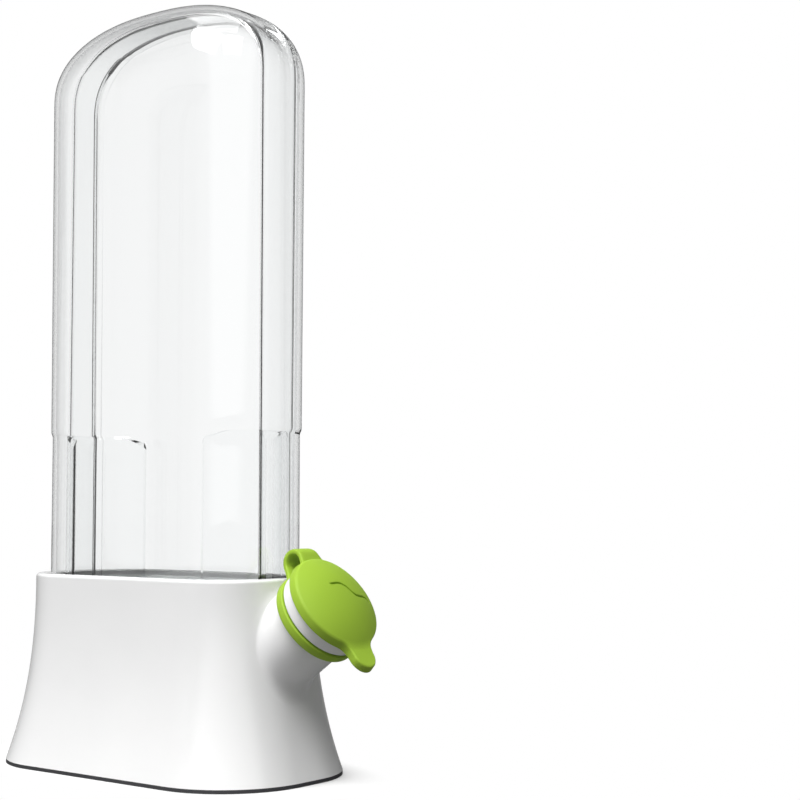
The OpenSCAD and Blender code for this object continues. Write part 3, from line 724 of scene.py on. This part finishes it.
def strap_path():
    """Straight out of the collar, half a circle and a bit, and straight onto the cap."""
    out = np.stack([np.linspace(-14.5, -LOOP_U, 14), np.full(14, LOOP_V - MID_R)], axis=1)
    turn = arc((-LOOP_U, LOOP_V), MID_R, -90, -270, 40)[1:-1]
    back = np.stack([np.linspace(-LOOP_U, -14.5, 16), np.full(16, LOOP_V + MID_R)], axis=1)
    return np.concatenate([out, turn, back])


def band(path, width, height, power=5.0, steps=48):
    """A section |x/w|^p + |y/h|^p = 1 carried along a path, square to its direction."""
    run = np.gradient(path, axis=0)
    run /= np.linalg.norm(run, axis=1)[:, None]
    across = np.stack([-run[:, 1], run[:, 0]], axis=1)
    a = np.linspace(0, 2 * np.pi, steps, endpoint=False)
    c, s = np.cos(a), np.sin(a)
    wide = np.sign(c) * np.abs(c) ** (2 / power)
    high = np.sign(s) * np.abs(s) ** (2 / power)
    u = path[:, :1] + across[:, :1] * high * height[:, None] / 2
    v = path[:, 1:] + across[:, 1:] * high * height[:, None] / 2
    return from_spout(u, width[:, None] / 2 * wide, v)


path = strap_path()
far = np.concatenate([[0], np.cumsum(np.linalg.norm(np.diff(path, axis=0), axis=1))])
to_end = np.minimum(far, far[-1] - far)
WIDER, WIDE_FROM, WIDE_FULL = 3.4, 8.5, 2.0
widen = np.clip((WIDE_FROM - to_end) / (WIDE_FROM - WIDE_FULL), 0, 1) ** 2
strap = closed_mesh("cap_strap_band", [capped_grid(band(
    path, STRAP_W + WIDER * widen, STRAP_H + 0 * far))], sharp=60)
finish(strap, green_silicone)
Vector(from_spout(-LOOP_U, 0, LOOP_V - MID_R) * MM)
Vector(from_spout(-LOOP_U, 0, LOOP_V + MID_R) * MM)
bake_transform(strap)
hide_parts("cap_strap")

# %% The collar under the lip
# A shallow step at the top leaves a thin dark line between the collar and the white lip.
low = lip_under - COLLAR_H
collar_profile = np.concatenate([
    [[NECK_R + 0.02, lip_under - 0.1], [NECK_R + 0.7, lip_under - 0.1]],
    [[NECK_R + 0.8, lip_under - 0.5]], arc((COLLAR_R - 0.6, lip_under - 1.1), 0.6, 90, 0, 8),
    [[COLLAR_R + 0.05, lip_under - 2.2]], arc((COLLAR_R - 1.2, low + 1.2), 1.2, 0, -80, 9),
    [[NECK_R + 0.6, low + 0.12], [NECK_R + 0.02, low + 0.5]]])
collar = closed_mesh("neck_collar", [looped_grid(turned(collar_profile))])
finish(collar, green_silicone)
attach(collar, "base")
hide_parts("cap_collar")

# %% [markdown]
# ## Pieces that keep their own solid
# The foot pad, the bottom plate, the water well, its seal and the herb tray are plain mouldings
# that are mostly hidden, or seen through clear walls. Their exact solids need nothing finer, so
# they only get their finish.

# %% Finishes for the carried-over solids
for name, material in (("foot_pad", foot_rubber), ("bottom_plate", plate_matt),
                       ("water_well", well_satin), ("spout_seal", seal_rubber),
                       ("herb_tray", clear_tray)):
    finish(nodes[name], material)
    print(name, "is finished in", material.name)

# %% [markdown]
# ## The stage
# A plain pale floor, large soft lamps high at the front, above and behind, and an even world.
# The lamp behind stands in line with the clear pod, so it is hidden from see-through and
# mirrored rays, which would wash out the pod's edges. More light would also make the
# background white, but it would wash out the keeper. Instead camera and see-through rays find
# a white world and floor. Mirrored rays find the even world with one soft bright zone at the
# front right, as from a wide diffuser. The floor keeps the shadow close to the foot.

# %% The rays that show the background
def seen_rays(tree):
    """1 for the rays that show what lies behind the keeper: camera and see-through rays."""
    rays = tree.nodes.new("ShaderNodeLightPath").outputs
    return maths(tree, "MAXIMUM", rays["Is Camera Ray"], rays["Is Transmission Ray"])


# %% The floor
FLOOR = 6.0
SHADE_EDGE, WHITE_EDGE = 0.95, 1.4
mesh = bpy.data.meshes.new("floor")
mesh.from_pydata([(-FLOOR, -FLOOR, 0), (FLOOR, -FLOOR, 0), (FLOOR, FLOOR, 0), (-FLOOR, FLOOR, 0)],
                 [], [(0, 1, 2, 3)])
floor = bpy.data.objects.new("floor", mesh)
bpy.context.scene.collection.objects.link(floor)
floor_paint, tree, shader = new_material("floor_paint")
tone = mix_two_colours(tree, seen_rays(tree), (0.15, 0.15, 0.15), (0.74, 0.74, 0.74))
tree.links.new(tone, shader.inputs["Base Color"])
shader.inputs["Roughness"].default_value = 0.9
shader.inputs["Specular IOR Level"].default_value = 0.1
half_foot = ((RIM_W / 2 + FLARE_W) * MM, (RIM_D / 2 + FLARE_D) * MM, 1)
where = tree.nodes.new("ShaderNodeTexCoord").outputs["Object"]
in_half_feet = vector_maths(tree, "DIVIDE", where, half_foot, "Vector")
fade = soft_step(tree, vector_maths(tree, "LENGTH", in_half_feet), SHADE_EDGE, WHITE_EDGE)
glow = tree.nodes.new("ShaderNodeEmission")
glow.inputs["Strength"].default_value = 1.0
blend = tree.nodes.new("ShaderNodeMixShader")
tree.links.new(maths(tree, "MULTIPLY", fade, seen_rays(tree)), blend.inputs["Fac"])
tree.links.new(shader.outputs["BSDF"], blend.inputs[1])
tree.links.new(glow.outputs["Emission"], blend.inputs[2])
tree.links.new(blend.outputs["Shader"], tree.nodes["Material Output"].inputs["Surface"])
finish(floor, floor_paint)

# %% The world
EVEN_LIGHT, ZONE_LIGHT = 0.20, 1.5
ZONE_TURN, ZONE_LIFT = np.radians(37), np.radians(35)
ZONE_EDGE, ZONE_CORE = np.radians(50), np.radians(36)


def background(tree, strength):
    """A white Background shader of a strength that is a number or an output."""
    node = tree.nodes.new("ShaderNodeBackground")
    node.inputs["Color"].default_value = (1, 1, 1, 1)
    feed(tree, node.inputs["Strength"], strength)
    return node.outputs["Background"]


world = bpy.data.worlds.new("studio")
bpy.context.scene.world = world
world.use_nodes = True
tree = world.node_tree
tree.nodes.clear()
zone_way = (np.cos(ZONE_LIFT) * np.sin(ZONE_TURN), -np.cos(ZONE_LIFT) * np.cos(ZONE_TURN),
            np.sin(ZONE_LIFT))
where = tree.nodes.new("ShaderNodeTexCoord").outputs["Generated"]
zone = soft_step(tree, vector_maths(tree, "DOT_PRODUCT", where, zone_way),
                 np.cos(ZONE_EDGE), np.cos(ZONE_CORE))
mirrored = tree.nodes.new("ShaderNodeLightPath").outputs["Is Glossy Ray"]
bright = maths(tree, "MULTIPLY", zone, mirrored)
choose = tree.nodes.new("ShaderNodeMixShader")
output = tree.nodes.new("ShaderNodeOutputWorld")
tree.links.new(seen_rays(tree), choose.inputs["Fac"])
tree.links.new(background(tree, maths(tree, "MULTIPLY_ADD", bright, ZONE_LIGHT, EVEN_LIGHT)),
               choose.inputs[1])
tree.links.new(background(tree, 1.0), choose.inputs[2])
tree.links.new(choose.outputs["Shader"], output.inputs["Surface"])


# %% The lamps
def soft_lamp(name, place, aim, size, power):
    """A square area lamp at a place, turned to a point; power is in watts."""
    light = bpy.data.lights.new(name, "AREA")
    light.shape = "SQUARE"
    light.size = size
    light.energy = power
    lamp = bpy.data.objects.new(name, light)
    lamp.location = place
    direction = Vector(aim) - Vector(place)
    lamp.rotation_euler = direction.to_track_quat("-Z", "Y").to_euler()
    bpy.context.scene.collection.objects.link(lamp)
    print(f"{name}: {power} W, {size} m wide, at {place} m")
    return lamp


soft_lamp("key_lamp", (-0.25, -0.85, 1.20), (0, 0, 0.08), 0.8, 17.0)
soft_lamp("right_lamp", (0.55, -0.65, 1.15), (0, 0, 0.08), 0.7, 13.0)
soft_lamp("top_lamp", (-0.15, -0.1, 1.3), (0, 0, 0), 0.7, 4.0)
back_lamp = soft_lamp("back_lamp", (-0.75, 0.80, 0.80), (0, 0, 0.08), 0.8, 11.0)
back_lamp.visible_transmission = False
back_lamp.visible_glossy = False

# %% [markdown]
# ## The camera
# It stands where the photograph was taken from, a little above the rim and about 46 degrees
# round to the spout's side, and looks slightly up and past the keeper. Its lens follows from
# the focal length in pixels, so that the render lies over the photograph point by point.

# %% Place the camera
camera_data = bpy.data.cameras.new("camera")
camera_data.sensor_width = 36.0
camera_data.lens = FOCAL_PX * camera_data.sensor_width / FRAME_PX
camera_data.clip_start = 0.01
camera = bpy.data.objects.new("camera", camera_data)
camera.location = Vector(eye * MM)
camera.rotation_euler = Vector(forward).to_track_quat("-Z", "Y").to_euler()
bpy.context.scene.collection.objects.link(camera)
bpy.context.scene.camera = camera
bpy.context.scene.view_settings.view_transform = "Standard"
print(f"camera: a lens of {camera_data.lens:.2f} mm on {camera_data.sensor_width:.0f} mm")
